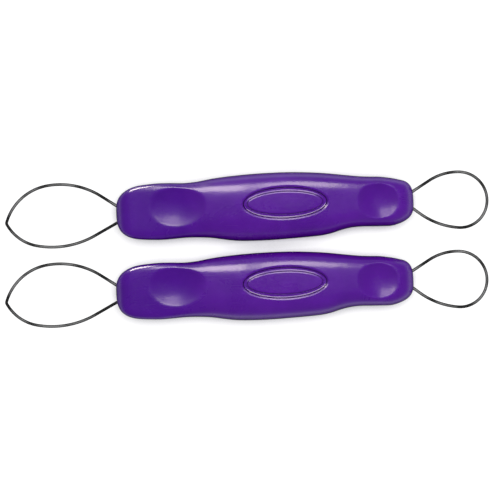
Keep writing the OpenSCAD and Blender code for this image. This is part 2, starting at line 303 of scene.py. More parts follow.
# ================================================================ stations and sections
def end_stations(tip, length, power, direction):
    """Stations from a tip inward, closer together towards the tip."""
    angles = np.linspace(0.02, math.pi / 2, END_STATIONS)
    return tip + direction * length * (1 - np.cos(angles) ** (2 / power))


def stations():
    left = end_stations(LEFT_TIP, LEFT_NOSE, LEFT_NOSE_POWER, 1)
    right = end_stations(RIGHT_TIP, RIGHT_NOSE, RIGHT_NOSE_POWER, -1)[::-1]
    middle = np.linspace(left[-1], right[0], MIDDLE_STATIONS)[1:-1]
    return np.concatenate([left, middle, right])


def skin_grid(xs, columns, heights, powers):
    """Grid of x, y, place across (1 at the back to -1) and share of the section's height,
    with the points of each section evenly spaced along its curve."""
    t = np.linspace(0, math.pi, 721)
    cos_t, sin_t = np.cos(t), np.sin(t)
    across, share = [], []
    for width, height, power in zip(half_width(xs), heights, powers):
        s = np.sign(cos_t) * np.abs(cos_t) ** (2 / power)
        z = np.abs(sin_t) ** (2 / power)
        steps = np.hypot(np.diff(s * max(width, 0.3)), np.diff(z * max(height, 0.3)))
        along = np.concatenate([[0], np.cumsum(steps)])
        along /= along[-1]
        even = np.linspace(0, 1, columns + 1)
        across.append(np.interp(even, along, s))
        share.append(np.interp(even, along, z))
    across, share = np.array(across), np.array(share)
    X = np.repeat(xs[:, None], columns + 1, 1)
    Y = middle_y(xs)[:, None] + across * half_width(xs)[:, None]
    return X, Y, across, share


def bevel_lip(Y, Z, across, side):
    """Draws the skin in where the shells meet. side is 1 for the top shell, -1 for the bottom."""
    lip = np.clip((LIP_HEIGHT - side * (Z - PARTING_Z)) / LIP_HEIGHT, 0, 1)
    Z[:, 0] = Z[:, -1] = PARTING_Z + side * PART_GAP
    return Y - np.where(across > 0, 1.0, -1.0) * LIP_DEPTH * lip ** 2


def close_half(verts, faces, xs, columns, vid, part_z, wall_z, roof_z):
    """Closes a half shell: its parting face, the hollow behind it and the small end caps."""
    count = len(xs)
    centre, half = middle_y(xs), half_width(xs)
    levels = []
    # height, scale of the hollow along X and Y
    for z, scale_x, scale_y in ((part_z, 0.857, 0.8),
                                (part_z + (wall_z - part_z) * 0.6, 0.857, 0.8),
                                (wall_z, 0.85, 0.77), (roof_z, 0.83, 0.66)):
        level = []
        for sign in (1, -1):
            level.append(list(range(len(verts), len(verts) + count)))
            verts.extend([MIDDLE_X + (xs[i] - MIDDLE_X) * scale_x,
                          centre[i] + sign * half[i] * scale_y, z] for i in range(count))
        levels.append(level)
    plus, minus = levels[0]
    for i in range(count - 1):
        faces.append((vid(i, 0), vid(i + 1, 0), plus[i + 1], plus[i]))
        faces.append((vid(i + 1, columns), vid(i, columns), minus[i], minus[i + 1]))
    for e in (0, count - 1):
        faces.append((vid(e, 0), plus[e], minus[e], vid(e, columns)))
        faces.append(tuple(vid(e, j) for j in range(columns + 1)))
    for (plus_a, minus_a), (plus_b, minus_b) in zip(levels[:-1], levels[1:]):
        for i in range(count - 1):
            faces.append((plus_a[i], plus_a[i + 1], plus_b[i + 1], plus_b[i]))
            faces.append((minus_a[i + 1], minus_a[i], minus_b[i], minus_b[i + 1]))
        for e in (0, count - 1):
            faces.append((plus_a[e], plus_b[e], minus_b[e], minus_a[e]))
    plus, minus = levels[-1]
    for i in range(count - 1):
        faces.append((plus[i], plus[i + 1], minus[i + 1], minus[i]))


# ================================================================ wire paths
WIRE_R = 0.6
WIRE_SIDES = 28
MOUTH_PLAY, MOUTH_SIDES = 0.07, 40      # the mouths' clearance round the wire
TAIL_IN = 15.5                          # how far the tails run into the grip
HOOK_R, HOOK_LEG = 1.6, 2.4
TAIL_RUN = TAIL_IN - HOOK_R
HOOK_IN = [(HOOK_LEG, 0), (HOOK_R, 90)]
HOOK_OUT = HOOK_IN[::-1]

# Steps along each wire from tail to tail: (straight length, 0) or (bend radius, degrees).
POINTED_STEPS = [
    *HOOK_IN, (TAIL_RUN - 2.2, 0), (3, 34.5), (7.7, 0), (30.4, -42), (20.7, -64), (1.3, -46),
    (17.3, -50.5), (34.8, -39.5), (10, 0), (3, 27.5), (TAIL_RUN - 1.4, 0), *HOOK_OUT]
ROUND_STEPS = [
    *HOOK_IN, (TAIL_RUN - 1.6, 0), (3, 31), (7.8, 0), (21, -34.5), (11.4, -103.5),
    (10.7, -79.5), (29.8, -31.5), (3.3, 0), (3, 38), (TAIL_RUN - 1.9, 0), *HOOK_OUT]
# steps, y of the first tail, the grip's tip there, direction outward along X
POINTED_LOOP = (POINTED_STEPS, 2.2, LEFT_TIP, -1)
ROUND_LOOP = (ROUND_STEPS, 3.4, RIGHT_TIP, 1)


def wire_path(steps, tail_y):
    """Points (x, y, heading) along a wire, with x running outward from the grip's tip."""
    x, y = -TAIL_IN, tail_y + HOOK_R + HOOK_LEG
    heading = math.radians(-90)
    path = [(x, y, heading)]
    for size, degrees in steps:
        if degrees == 0:
            count = max(1, int(size / 0.7))
            step, turn = size / count, 0.0
        else:
            count = max(6, int(size * math.radians(abs(degrees)) / 0.5))
            turn = math.radians(degrees) / count
            step = 2 * size * math.sin(abs(turn) / 2)
        for _ in range(count):
            x += step * math.cos(heading + turn / 2)
            y += step * math.sin(heading + turn / 2)
            heading += turn
            path.append((x, y, heading))
    return path


def rod(rows, sides, tip, outward):
    """A closed round rod through rows of ((x, y, heading), radius, shift along the heading)."""
    verts, faces = [], []
    for (x, y, heading), radius, shift in rows:
        along_x, along_y = math.cos(heading), math.sin(heading)
        for k in range(sides):
            angle = 2 * math.pi * k / sides
            aside, up = radius * math.cos(angle), radius * math.sin(angle)
            verts.append([tip + outward * (x + along_x * shift - along_y * aside),
                          y + along_y * shift + along_x * aside, PARTING_Z + up])
    for i in range(len(rows) - 1):
        a, b = i * sides, (i + 1) * sides
        for k in range(sides):
            after = (k + 1) % sides
            faces.append((a + k, a + after, b + after, b + k))
    faces.append(tuple(range(sides)))
    faces.append(tuple(reversed(range(len(verts) - sides, len(verts)))))
    return verts, faces


# ================================================================ top shell
# (outward from the pocket wall, fall below the skin)
MOUTH_PROFILE = [(0.0, 0.46), (0.03, 0.40), (0.08, 0.365), (0.2, 0.295), (0.34, 0.215),
                 (0.48, 0.135), (0.6, 0.065), (0.7, 0.02), (0.82, 0.0)]
# (share of the way down to the floor, inset from the wall's upper edge)
POCKET_PROFILE = [(0.15, 0.01), (0.5, 0.03), (0.85, 0.05), (0.96, 0.08), (1.0, 0.16),
                  (1.0, 1.2), (1.0, 2.6), (1.0, 4.2)]
WINDOW_MARGIN_X, WINDOW_MARGIN_Y = 4.0, 2.2


def build_top_shell(name):
    xs = stations()
    X, Y, across, share = skin_grid(xs, TOP_COLUMNS, rise(xs), squareness(xs))
    Z = PARTING_Z + rise(xs)[:, None] * share
    Z = smooth_min(Z, dishes(X, Y), DISH_BLEND)
    Y = bevel_lip(Y, Z, across, 1)
    verts = np.stack([X, Y, Z], -1).reshape(-1, 3).tolist()
    faces = []

    def vid(i, j):
        return i * (TOP_COLUMNS + 1) + j

    # a window of the grid round the pocket is left open
    window_a, window_b = POCKET_A + WINDOW_MARGIN_X, POCKET_B + WINDOW_MARGIN_Y
    i0 = int(np.argmin(np.abs(xs - (OVAL_X - window_a))))
    i1 = int(np.argmin(np.abs(xs - (OVAL_X + window_a))))
    middle = Y[(i0 + i1) // 2]
    j0 = int(np.argmin(np.abs(middle - (OVAL_Y + window_b))))
    j1 = int(np.argmin(np.abs(middle - (OVAL_Y - window_b))))
    for i in range(len(xs) - 1):
        for j in range(TOP_COLUMNS):
            if not (i0 <= i < i1 and j0 <= j < j1):
                faces.append((vid(i, j), vid(i, j + 1), vid(i + 1, j + 1), vid(i + 1, j)))
    window = ([(i, j0) for i in range(i0, i1)] + [(i1, j) for j in range(j0, j1)]
              + [(i, j1) for i in range(i1, i0, -1)] + [(i0, j) for j in range(j1, j0, -1)])
    window_x = np.array([X[p] for p in window])
    window_y = np.array([Y[p] for p in window])
    angles = np.arctan2((window_y - OVAL_Y) / window_b, (window_x - OVAL_X) / window_a)

    # rings from the pocket's wall over the chamfered mouth and out to the window
    wall_a, wall_b = POCKET_A - MOUTH_CHAMFER, POCKET_B - MOUTH_CHAMFER
    rings = []
    for out, fall in MOUTH_PROFILE:
        mouth_x, mouth_y = oval(angles, wall_a + out, wall_b + out)
        rings.append(add_ring(verts, mouth_x, mouth_y, top_height(mouth_x, mouth_y) - fall))
    for k in range(1, 12):
        part = (k / 12) ** 1.35
        x = mouth_x + (window_x - mouth_x) * part
        y = mouth_y + (window_y - mouth_y) * part
        rings.append(add_ring(verts, x, y, top_height(x, y)))
    rings.append([vid(*p) for p in window])
    loft(faces, rings)

    # pocket wall and floor
    rim_z = np.array([verts[v][2] for v in rings[0]])
    down = [rings[0]]
    for part, inset in POCKET_PROFILE:
        x, y = oval(angles, wall_a - inset, wall_b - inset)
        down.append(add_ring(verts, x, y, rim_z + (POCKET_Z - rim_z) * part))
    verts.append([OVAL_X, OVAL_Y, POCKET_Z])
    down.append([len(verts) - 1])
    loft(faces, down, flip=True)

    close_half(verts, faces, xs, TOP_COLUMNS, vid, part_z=PARTING_Z + PART_GAP,
               wall_z=PARTING_Z + 2.4, roof_z=10.1)
    ob = make_solid(name, verts, faces)
    cut_tail_mouths(ob)
    sharpen(ob, 40)
    mark_dishes(ob)
    return ob


def mark_dishes(ob):
    """Stores how far each point of the skin lies down in a dish, for its duller finish."""
    mesh = ob.data
    points = np.empty(len(mesh.vertices) * 3)
    mesh.vertices.foreach_get("co", points)
    x, y, z = (points.reshape(-1, 3) / MM).T
    on_skin = np.abs(z - top_height(x, y)) < 0.05
    depth = np.where(on_skin, np.clip((plain_top(x, y) - z) / 0.5, 0, 1), 0.0)
    attribute = mesh.attributes.new("dish", "FLOAT", "POINT")
    attribute.data.foreach_set("value", depth.astype(np.float32))


def cut_tail_mouths(ob):
    """Cuts the round mouths, half in each shell, where the tails run in through the ends."""
    for steps, tail_y, tip, outward in (POINTED_LOOP, ROUND_LOOP):
        path = wire_path(steps, tail_y)
        half = len(path) // 2
        for part in (path[:half], path[half:]):
            rows = [(p, WIRE_R + MOUTH_PLAY, 0.0) for p in part
                    if -11.5 < p[0] < 2.5 and abs(math.cos(p[2])) > 0.5]
            cut(ob, *rod(rows, MOUTH_SIDES, tip, outward))
    edit_mesh(ob, tidy)


def tidy(bm):
    """Splits the many-sided faces that the cuts leave, and drops folded and loose slivers."""
    bmesh.ops.triangulate(bm, faces=[f for f in bm.faces if len(f.verts) > 4])
    same = {}
    for f in bm.faces:
        same.setdefault(tuple(sorted(v.index for v in f.verts)), []).append(f)
    folded = [f for group in same.values() if len(group) > 1 for f in group]
    if folded:
        bmesh.ops.delete(bm, geom=folded, context="FACES")
    loose = [f for f in bm.faces if sum(len(e.link_faces) == 1 for e in f.edges) >= 2]
    if loose:
        bmesh.ops.delete(bm, geom=loose, context="FACES")


# ================================================================ bottom shell
# (radius, height) of a counterbored screw hole with a chamfered mouth
HOLE_PROFILE = [(0, -1), (2.55, -1), (2.55, 0.0), (2.25, 0.25), (2.25, SEAT_Z - 0.12),
                (2.13, SEAT_Z), (1.2, SEAT_Z), (1.2, PARTING_Z + 1), (0, PARTING_Z + 1)]


def build_bottom_shell(name):
    xs = stations()
    X, Y, across, share = skin_grid(xs, BOTTOM_COLUMNS, drop(xs), np.full(len(xs), BELLY_POWER))
    Z = PARTING_Z - drop(xs)[:, None] * share
    Z = -smooth_min(-Z, 0.0, LAND_BLEND)
    Z = np.where(Z < LAND_BLEND * 0.02, 0.0, Z)
    Y = bevel_lip(Y, Z, across, -1)
    verts = np.stack([X, Y, Z], -1).reshape(-1, 3).tolist()

    def vid(i, j):
        return i * (BOTTOM_COLUMNS + 1) + j

    faces = [(vid(i, j), vid(i + 1, j), vid(i + 1, j + 1), vid(i, j + 1))
             for i in range(len(xs) - 1) for j in range(BOTTOM_COLUMNS)]
    close_half(verts, faces, xs, BOTTOM_COLUMNS, vid, part_z=PARTING_Z - PART_GAP,
               wall_z=5.6, roof_z=3.6)
    ob = make_solid(name, verts, faces)
    for x, y in SCREWS:
        cut(ob, *lathe(HOLE_PROFILE, 64, x, y))
    cut_tail_mouths(ob)
    sharpen(ob, 35)
    return ob


# ================================================================ oval inlay
INLAY_A, INLAY_B = POCKET_A - 0.5, POCKET_B - 0.5
INLAY_POINTS = 288
FIELD_Z, FIELD_DOME = 16.3, 0.08
INLAY_BASE_Z = POCKET_Z + 0.01
# Field edge, incised line, step down, channel, outer lip and side wall:
# (inset from the edge, height over the field)
INLAY_PROFILE = [
    (2.52, 0.0), (2.46, -0.006), (2.4, -0.024), (2.25, -0.082), (2.12, -0.134),
    (2.04, -0.165), (2.0, -0.2), (1.98, -0.30), (1.95, -0.42), (1.77, -0.42), (1.74, -0.30),
    (1.71, -0.22), (1.67, -0.2), (1.6, -0.205), (1.54, -0.222), (1.4, -0.276),
    (1.28, -0.324), (1.2, -0.35), (1.12, -0.358), (0.98, -0.358), (0.9, -0.348),
    (0.84, -0.325), (0.7, -0.262), (0.56, -0.2), (0.52, -0.182), (0.49, -0.178),
    (0.47, -0.19), (0.45, -0.23), (0.44, -0.3), (0.43, -0.45), (0.43, -0.9),
    (0.48, INLAY_BASE_Z - FIELD_Z)]
FIELD_INSET = INLAY_PROFILE[0][0]


def build_inlay(name):
    angles = np.linspace(0, 2 * math.pi, INLAY_POINTS, endpoint=False)
    verts, faces, rings = [[OVAL_X, OVAL_Y, FIELD_Z + FIELD_DOME]], [], []

    def add(half_x, half_y, z):
        rings.append(add_ring(verts, *oval(angles, half_x, half_y), z))

    for share in (0.12, 0.25, 0.4, 0.55, 0.7, 0.82, 0.92):
        add((INLAY_A - FIELD_INSET) * share, (INLAY_B - FIELD_INSET) * share,
            FIELD_Z + FIELD_DOME * (1 - share ** 2))
    for inset, height in INLAY_PROFILE:
        add(INLAY_A - inset, INLAY_B - inset, FIELD_Z + height)
    for share in (0.6, 0.3):
        add(INLAY_A * share, INLAY_B * share, INLAY_BASE_Z)
    verts.append([OVAL_X, OVAL_Y, INLAY_BASE_Z])
    for k in range(INLAY_POINTS):
        after = (k + 1) % INLAY_POINTS
        faces.append((0, rings[0][k], rings[0][after]))
        faces.append((len(verts) - 1, rings[-1][after], rings[-1][k]))
    loft(faces, rings)
    ob = make_solid(name, verts, faces)
    sharpen(ob, 60)
    return ob


# ================================================================ wire loops
# (radius lost, distance from the end) over each rounded end
WIRE_END = [(0.12, 0.0), (0.03, 0.05), (0.0, 0.14)]


def build_wire(name, loop):
    steps, tail_y, tip, outward = loop
    path = wire_path(steps, tail_y)
    rows = ([(path[0], WIRE_R - lost, gap) for lost, gap in WIRE_END]
            + [(p, WIRE_R, 0.0) for p in path[1:-1]]
            + [(path[-1], WIRE_R - lost, -gap) for lost, gap in WIRE_END[::-1]])
    ob = make_solid(name, *rod(rows, WIRE_SIDES, tip, outward))

    # how far along the wire and how far round it, for the drawn-wire finish
    length = [0.0]
    for p, q in zip(path[:-1], path[1:]):
        length.append(length[-1] + math.hypot(q[0] - p[0], q[1] - p[1]))
    along = ([gap for _, gap in WIRE_END] + length[1:-1]
             + [length[-1] - gap for _, gap in WIRE_END[::-1]])
    mesh = ob.data
    uv = mesh.uv_layers.new(name="along")
    for loop_index, corner in enumerate(mesh.loops):
        row, k = divmod(corner.vertex_index, WIRE_SIDES)
        uv.data[loop_index].uv = (along[row] * 0.01, k / WIRE_SIDES)
    sharpen(ob, 50)
    return ob


# ================================================================ screws
CORE_R, CREST_R, THREAD_PITCH = 0.84, 1.1, 0.7
# (height, half length, half width) at the two ends of a slot of the tapered cross recess
RECESS = [(HEAD_Z - 0.5, 1.25, 0.34), (HEAD_Z + 0.85, 0.75, 0.2)]
BOX_FACES = [(0, 1, 2, 3), (7, 6, 5, 4), (0, 4, 5, 1), (1, 5, 6, 2), (2, 6, 7, 3), (3, 7, 4, 0)]


def screw_profile():
    """(radius, height) from the domed head up to the tip."""
    profile = [(0, HEAD_Z), (0.9, HEAD_Z + 0.02), (1.45, HEAD_Z + 0.09), (1.8, HEAD_Z + 0.25),
               (1.96, HEAD_Z + 0.5), (2.0, HEAD_Z + 0.8), (2.0, SEAT_Z - 0.1),
               (1.94, SEAT_Z - 0.02), (1.12, SEAT_Z - 0.02), (0.92, SEAT_Z + 0.2)]
    z = SEAT_Z + 0.35
    while z < SCREW_TIP_Z - 1.5:
        profile += [(CORE_R, z), (CORE_R, z + 0.22), (CREST_R, z + 0.42), (CREST_R, z + 0.48)]
        z += THREAD_PITCH
    return profile + [(CORE_R, z), (0.7, SCREW_TIP_Z - 0.7), (0.3, SCREW_TIP_Z - 0.15),
                      (0, SCREW_TIP_Z)]


def build_screws(name):
    parts = []
    for x, y in SCREWS:
        ob = make_solid("screw_tmp", *lathe(screw_profile(), 48, x, y))
        for turn in (0, 90):
            cos, sin = math.cos(math.radians(turn)), math.sin(math.radians(turn))
            corners = [(x + px * cos - py * sin, y + px * sin + py * cos, z)
                       for z, length, width in RECESS
                       for px, py in ((-length, -width), (length, -width),
                                      (length, width), (-length, width))]
            cut(ob, corners, BOX_FACES)
        parts.append(ob)
    bm = bmesh.new()
    for part in parts:
        bm.from_mesh(part.data)
    mesh = bpy.data.meshes.new(name)
    bm.to_mesh(mesh)
    bm.free()
    for part in parts:
        old = part.data
        bpy.data.objects.remove(part)
        bpy.data.meshes.remove(old)
    ob = link_object(name, mesh)
    shade_smooth(mesh)
    sharpen(ob, 35)
    return ob


# ================================================================ shader tools
class Shader:
    """Builds the node tree of a material or world. An input is a value or a socket to link."""

    def __init__(self, owner):
        owner.use_nodes = True
        self.tree = owner.node_tree
        self.tree.nodes.clear()

    def connect(self, node, inputs):
        for key, value in inputs.items():
            if isinstance(value, bpy.types.NodeSocket):
                self.tree.links.new(value, node.inputs[key])
            else:
                node.inputs[key].default_value = value

    def add(self, kind, inputs=None, **settings):
        node = self.tree.nodes.new("ShaderNode" + kind)
        for key, value in settings.items():
            setattr(node, key, value)
        self.connect(node, inputs or {})
        return node

    def noise(self, vector, scale, detail, roughness=0.5, distortion=0.0):
        return self.add("TexNoise", {
            "Vector": vector, "Scale": scale, "Detail": detail, "Roughness": roughness,
            "Distortion": distortion}).outputs["Fac"]

    def ramp(self, factor, stops):
        """Stops are (position, colour), where a single number is a grey."""
        node = self.add("ValToRGB", {0: factor})
        elements = node.color_ramp.elements
        stops = [(p, (*c, 1) if isinstance(c, tuple) else (c, c, c, 1)) for p, c in stops]
        elements[0].position, elements[0].color = stops[0]
        elements[1].position, elements[1].color = stops[-1]
        for position, colour in stops[1:-1]:
            elements.new(position).color = colour
        return node.outputs[0]

    def math(self, operation, *values):
        return self.add("Math", dict(enumerate(values)), operation=operation).outputs[0]

    def multiply_colours(self, first, second):
        return self.add("MixRGB", {0: 1.0, 1: first, 2: second},
                        blend_type="MULTIPLY").outputs[0]

    def map_range(self, value, source, target):
        return self.add("MapRange", {0: value, 1: source[0], 2: source[1], 3: target[0],
                                     4: target[1]}).outputs[0]

    def bump(self, height, strength, distance, invert=False, **normal):
        return self.add("Bump", {"Height": height, "Strength": strength, "Distance": distance,
                                 **normal}, invert=invert).outputs[0]

    def facing(self):
        return self.add("LayerWeight", {"Blend": 0.5}).outputs["Facing"]

    def occlusion(self, distance, samples):
        return self.add("AmbientOcclusion", {"Distance": distance}, samples=samples).outputs["AO"]

    def object_place(self):
        return self.add("TexCoord").outputs["Object"]

    def emission(self, color, strength):
        return self.add("Emission", {"Color": color, "Strength": strength}).outputs[0]

    def mix_shaders(self, factor, first, second):
        return self.add("MixShader", {0: factor, 1: first, 2: second}).outputs[0]


def new_material(name):
    material = bpy.data.materials.new(name)
    shader = Shader(material)
    shader.output = shader.add("OutputMaterial")
    shader.surface = shader.add("BsdfPrincipled")
    shader.connect(shader.output, {0: shader.surface.outputs[0]})
    return material, shader


# ================================================================ materials
# colour of the plastic, with painted shade where it is seen edge on, in grooves and seams, and at
# the left end
def plastic_colour_and_painted_shade(shader, place, facing, left_end, base, deep, light):
    pigment = shader.noise(place, scale=55.0, detail=4.0, roughness=0.6)
    mottled = shader.ramp(pigment, [(0.3, deep), (0.52, base), (0.75, light)])
    # patches of the raised edges are lighter
    edges = shader.ramp(shader.add("NewGeometry").outputs["Pointiness"], [(0.49, 0), (0.56, 1)])
    patches = shader.ramp(shader.noise(place, scale=240.0, detail=3.0), [(0.45, 0), (0.7, 1)])
    wear = shader.math("MULTIPLY", shader.math("MULTIPLY", edges, patches), 0.35)
    worn = (*[min(1, c * 1.9 + 0.01) for c in light], 1)
    colour = shader.add("MixRGB", {0: wear, 1: mottled, 2: worn}, blend_type="MIX").outputs[0]
    # painted shade: the colour is painted darker where the skin is seen edge on, for a dark
    # outline
    colour = shader.multiply_colours(colour, shader.ramp(
        facing, [(0.68, 1), (0.79, 0.5), (0.9, 0.14), (1.0, 0.05)]))
    # painted shade: and painted darker by occlusion in grooves and seams, where shade falls
    colour = shader.multiply_colours(colour, shader.ramp(
        shader.occlusion(distance=0.0009, samples=6), [(0.35, 0.12), (0.85, 1)]))
    # painted shade: and painted a little darker and bluer at the left end
    return shader.multiply_colours(colour, shader.ramp(
        left_end, [(0.0, 1), (1.0, (0.80, 0.78, 0.90))]))


def hairline_scratches(shader, place):
    """Fine scratches in two directions."""
    scratches = []
    for angle, scale, shift in ((0.35, 900.0, 3.1), (-0.6, 700.0, 8.7)):
        stretched = shader.add("Mapping", {
            "Vector": place, "Rotation": (0, 0, angle), "Location": (shift, shift * 0.7, 0),
            "Scale": (0.05, 1.0, 0.3)}).outputs[0]
        lines = shader.noise(stretched, scale=scale, detail=1.0)
        scratches.append(shader.ramp(lines, [(0.66, 0), (0.70, 1), (0.74, 0)]))
    return shader.math("MAXIMUM", *scratches)


def plastic(name, base, deep, light):
    """Glossy moulded plastic with mottled pigment, orange peel, scratches and smears, and painted
    shade at its edges, in grooves and at the left end.
    """
    material, shader = new_material(name)
    place = shader.object_place()
    facing = shader.facing()
    place_x = shader.add("SeparateXYZ", {0: place}).outputs["X"]
    left_end = shader.map_range(place_x, source=(-0.014, -0.026), target=(0.0, 1.0))
    colour = plastic_colour_and_painted_shade(shader, place, facing, left_end, base, deep, light)

    # smears and scratches roughen the gloss, and the thumb dishes are duller
    smears = shader.noise(place, scale=38.0, detail=6.0, roughness=0.65, distortion=0.8)
    smeared = shader.map_range(smears, source=(0.35, 0.7), target=(0.24, 0.33))
    scratches = hairline_scratches(shader, place)
    scratched = shader.math("MULTIPLY_ADD", scratches, 0.05, smeared)
    dish = shader.add("Attribute", attribute_name="dish").outputs["Fac"]
    roughness = shader.math("MULTIPLY_ADD", dish, 0.06, scratched)

    # relief: orange peel, fine grain, then the scratches sunk in
    peel = shader.noise(place, scale=520.0, detail=2.0)
    grain = shader.noise(place, scale=1900.0, detail=1.0)
    normal = shader.bump(peel, strength=0.10, distance=0.0002)
    normal = shader.bump(grain, strength=0.3, distance=0.00008, Normal=normal)
    normal = shader.bump(scratches, strength=0.12, distance=0.00003, invert=True, Normal=normal)

    # the gloss is weaker in the dishes, at low angles and at the left end
    dish_specular = shader.map_range(dish, source=(0.0, 1.0), target=(0.38, 0.26))
    low_angle = shader.ramp(facing, [(0.38, 1), (0.58, 0.22), (1.0, 0.08)])
    end_gloss = shader.map_range(left_end, source=(0.0, 1.0), target=(1.0, 0.74))
    gloss = shader.math("MULTIPLY", low_angle, end_gloss)
    specular = shader.math("MULTIPLY", dish_specular, gloss)
    dish_coat = shader.map_range(dish, source=(0.0, 1.0), target=(0.4, 0.15))
    shader.connect(shader.surface, {
        "Base Color": colour,
        "Roughness": roughness,
        "Normal": normal,
        "IOR": 1.5,
        "Specular IOR Level": specular,
        "Coat IOR": 1.5,
        "Coat Weight": shader.math("MULTIPLY", dish_coat, gloss),
        "Coat Roughness": shader.math("MULTIPLY", roughness, 0.42),
        "Coat Normal": normal,
        "Subsurface Weight": 0.06,
        "Subsurface Radius": (0.0006, 0.0002, 0.0012),
        "Subsurface Scale": 1.0})
    return material


def steel_wire(name):
    """Drawn spring wire: fine lines along its length and small dark specks, with a painted
    reflection: long stretches painted bright and dark, and flanks painted nearly black.
    """
    material, shader = new_material(name)
    uv = shader.add("UVMap", uv_map="along").outputs[0]
    fine = shader.add("Mapping", {"Vector": uv, "Scale": (6.0, 40.0, 1.0)}).outputs[0]
    lines = shader.noise(fine, scale=1.0, detail=4.0, roughness=0.7)
    colour = shader.ramp(lines, [
        (0.3, (0.16, 0.16, 0.162)), (0.5, 0.34), (0.72, (0.62, 0.615, 0.60))])
    # painted reflection: long stretches painted bright and dark, standing in for the wire's
    # broken reflection
    long = shader.add("Mapping", {"Vector": uv, "Scale": (9.0, 0.4, 1.0)}).outputs[0]
    stretches = shader.noise(long, scale=1.0, detail=1.0)
    colour = shader.multiply_colours(colour, shader.ramp(stretches, [(0.40, 0.12), (0.58, 1)]))
    specks = shader.noise(shader.object_place(), scale=300.0, detail=3.0)
    colour = shader.multiply_colours(colour, shader.ramp(
        specks, [(0.62, 1), (0.76, (0.55, 0.53, 0.5))]))
    # painted shade: the flanks are painted nearly black, standing in for the dark reflection a
    # round wire shows at its sides
    colour = shader.multiply_colours(colour, shader.ramp(shader.facing(), [
        (0.0, 1), (0.09, 0.8), (0.2, (0.08, 0.08, 0.082)), (1.0, (0.01, 0.01, 0.011))]))
    shader.connect(shader.surface, {
        "Base Color": colour,
        "Specular Tint": (0.15, 0.15, 0.15, 1),
        "Roughness": shader.map_range(lines, source=(0.3, 0.75), target=(0.2, 0.42)),
        "Normal": shader.bump(lines, strength=0.25, distance=0.00004),
        "Metallic": 0.6,
        "Anisotropic": 0.4})
    return material


def zinc(name):
    """Blotchy zinc plating."""
    material, shader = new_material(name)
    blotches = shader.noise(shader.object_place(), scale=700.0, detail=5.0, roughness=0.6)
    shader.connect(shader.surface, {
        "Base Color": shader.ramp(blotches, [
            (0.3, (0.42, 0.41, 0.38)), (0.5, (0.6, 0.59, 0.55)), (0.75, (0.7, 0.68, 0.58))]),
        "Roughness": shader.map_range(blotches, source=(0.3, 0.7), target=(0.24, 0.46)),
        "Normal": shader.bump(blotches, strength=0.2, distance=0.00005),
        "Metallic": 1.0})
    return material


MATERIALS = {
    "grip_plastic": plastic("grip_plastic", base=(0.059, 0.0028, 0.200),
                            deep=(0.052, 0.0022, 0.184), light=(0.066, 0.0036, 0.216)),
    "inlay_plastic": plastic("inlay_plastic", base=(0.062, 0.0031, 0.206),
                             deep=(0.056, 0.0025, 0.192), light=(0.068, 0.0039, 0.220)),
    "loop_wire": steel_wire("loop_wire"),
    "screw_steel": zinc("screw_steel"),
}

# ================================================================ the pieces, once per grip
# part: (shape, material slot)
SHAPES = {
    "top_shell": (build_top_shell("shape_top_shell"), "grip_plastic"),
    "bottom_shell": (build_bottom_shell("shape_bottom_shell"), "grip_plastic"),
    "oval_inlay": (build_inlay("shape_oval_inlay"), "inlay_plastic"),
    "pointed_loop": (build_wire("shape_pointed_loop", POINTED_LOOP), "loop_wire"),
    "round_loop": (build_wire("shape_round_loop", ROUND_LOOP), "loop_wire"),
    "screws": (build_screws("shape_screws"), "screw_steel"),
}
outline_x = np.linspace(LEFT_TIP + 0.05, RIGHT_TIP - 0.05, 2001)
OUTLINE_MIDDLE_Y = (back(outline_x).max() - front(outline_x).max()) / 2


def tool_origin(tool):
    """Where a grip's own origin lies on the table, in metres."""
    lo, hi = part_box(tool + "_top_shell")
    return (lo.x + hi.x) / 2 - MIDDLE_X * MM, (lo.y + hi.y) / 2 - OUTLINE_MIDDLE_Y * MM


visuals = {}
for tool in TOOLS:
    origin = Vector((*tool_origin(tool), 0))
    for part, (shape, slot) in SHAPES.items():
        ob = link_object(f"{tool}_{part}_visual", shape.data.copy())
        ob.data.materials.clear()
        ob.data.materials.append(MATERIALS[slot])
        ob.data.transform(Matrix.Translation(origin))
        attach(ob, tool)
        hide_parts(f"{tool}_{part}")
        visuals[tool, part] = ob
for shape, _ in SHAPES.values():
    bpy.data.objects.remove(shape)

# ================================================================ floor
FLOOR_RADII = [0.0, 0.12, 0.3, 0.8, 2.0, 5.0, 14.0]


